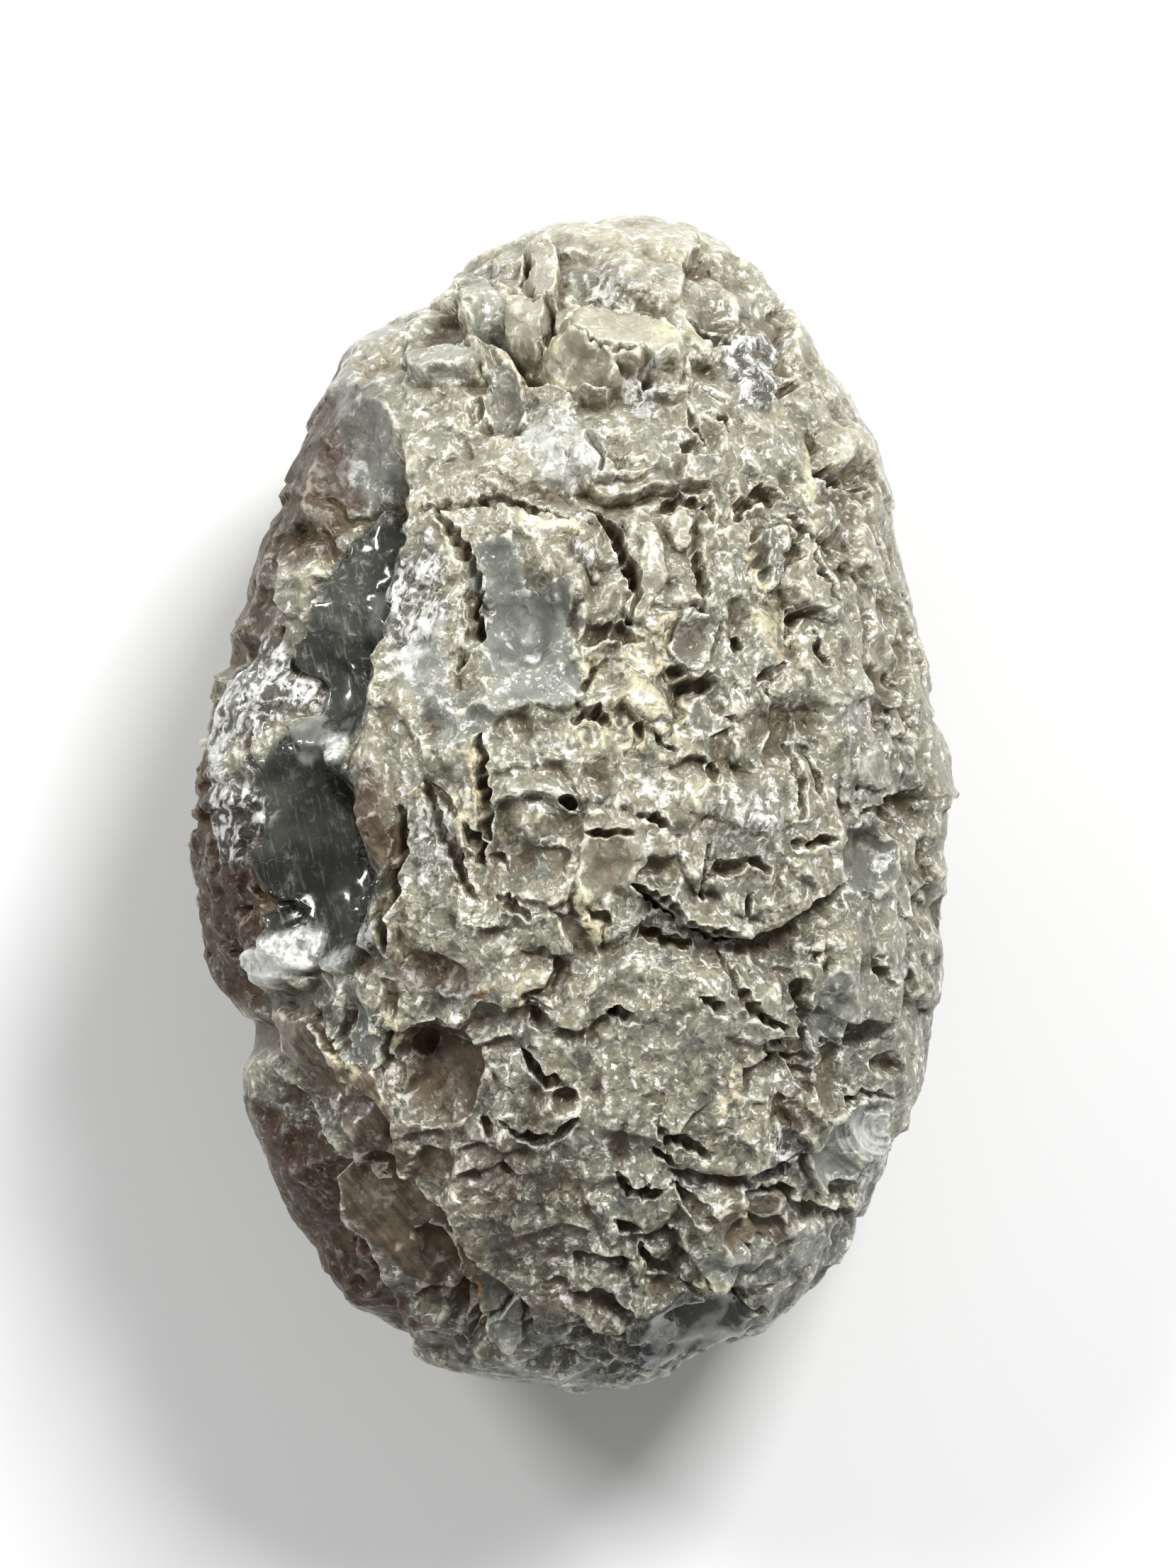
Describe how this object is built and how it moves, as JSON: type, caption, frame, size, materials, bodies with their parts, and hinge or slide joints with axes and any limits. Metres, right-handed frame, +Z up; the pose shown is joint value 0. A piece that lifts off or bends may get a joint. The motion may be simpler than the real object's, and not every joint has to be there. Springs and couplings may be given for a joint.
{
  "type": "rough obsidian nodule",
  "caption": "Rough egg-shaped nodule of grey volcanic glass with scooped hollows, jagged ledges and pits, lying on a small flat.",
  "frame": {"origin": "centre of the bounding box's bottom face, on the flat that the stone rests on", "axes": "+Z up out of the rough crown, +Y along the stone's length towards the end with the stepped blocks, +X across it, away from the deep glassy valley"},
  "size_m": [0.0436, 0.0666, 0.0334],
  "materials": {
    "obsidian": "grey-olive weathered volcanic glass, satin on the rough skin, glassy in the scooped hollows, with cream broken edges, brown stains and white glints"
  },
  "bodies": {
    "root": {"obsidian_nodule": "obsidian"}
  },
  "joints": []
}
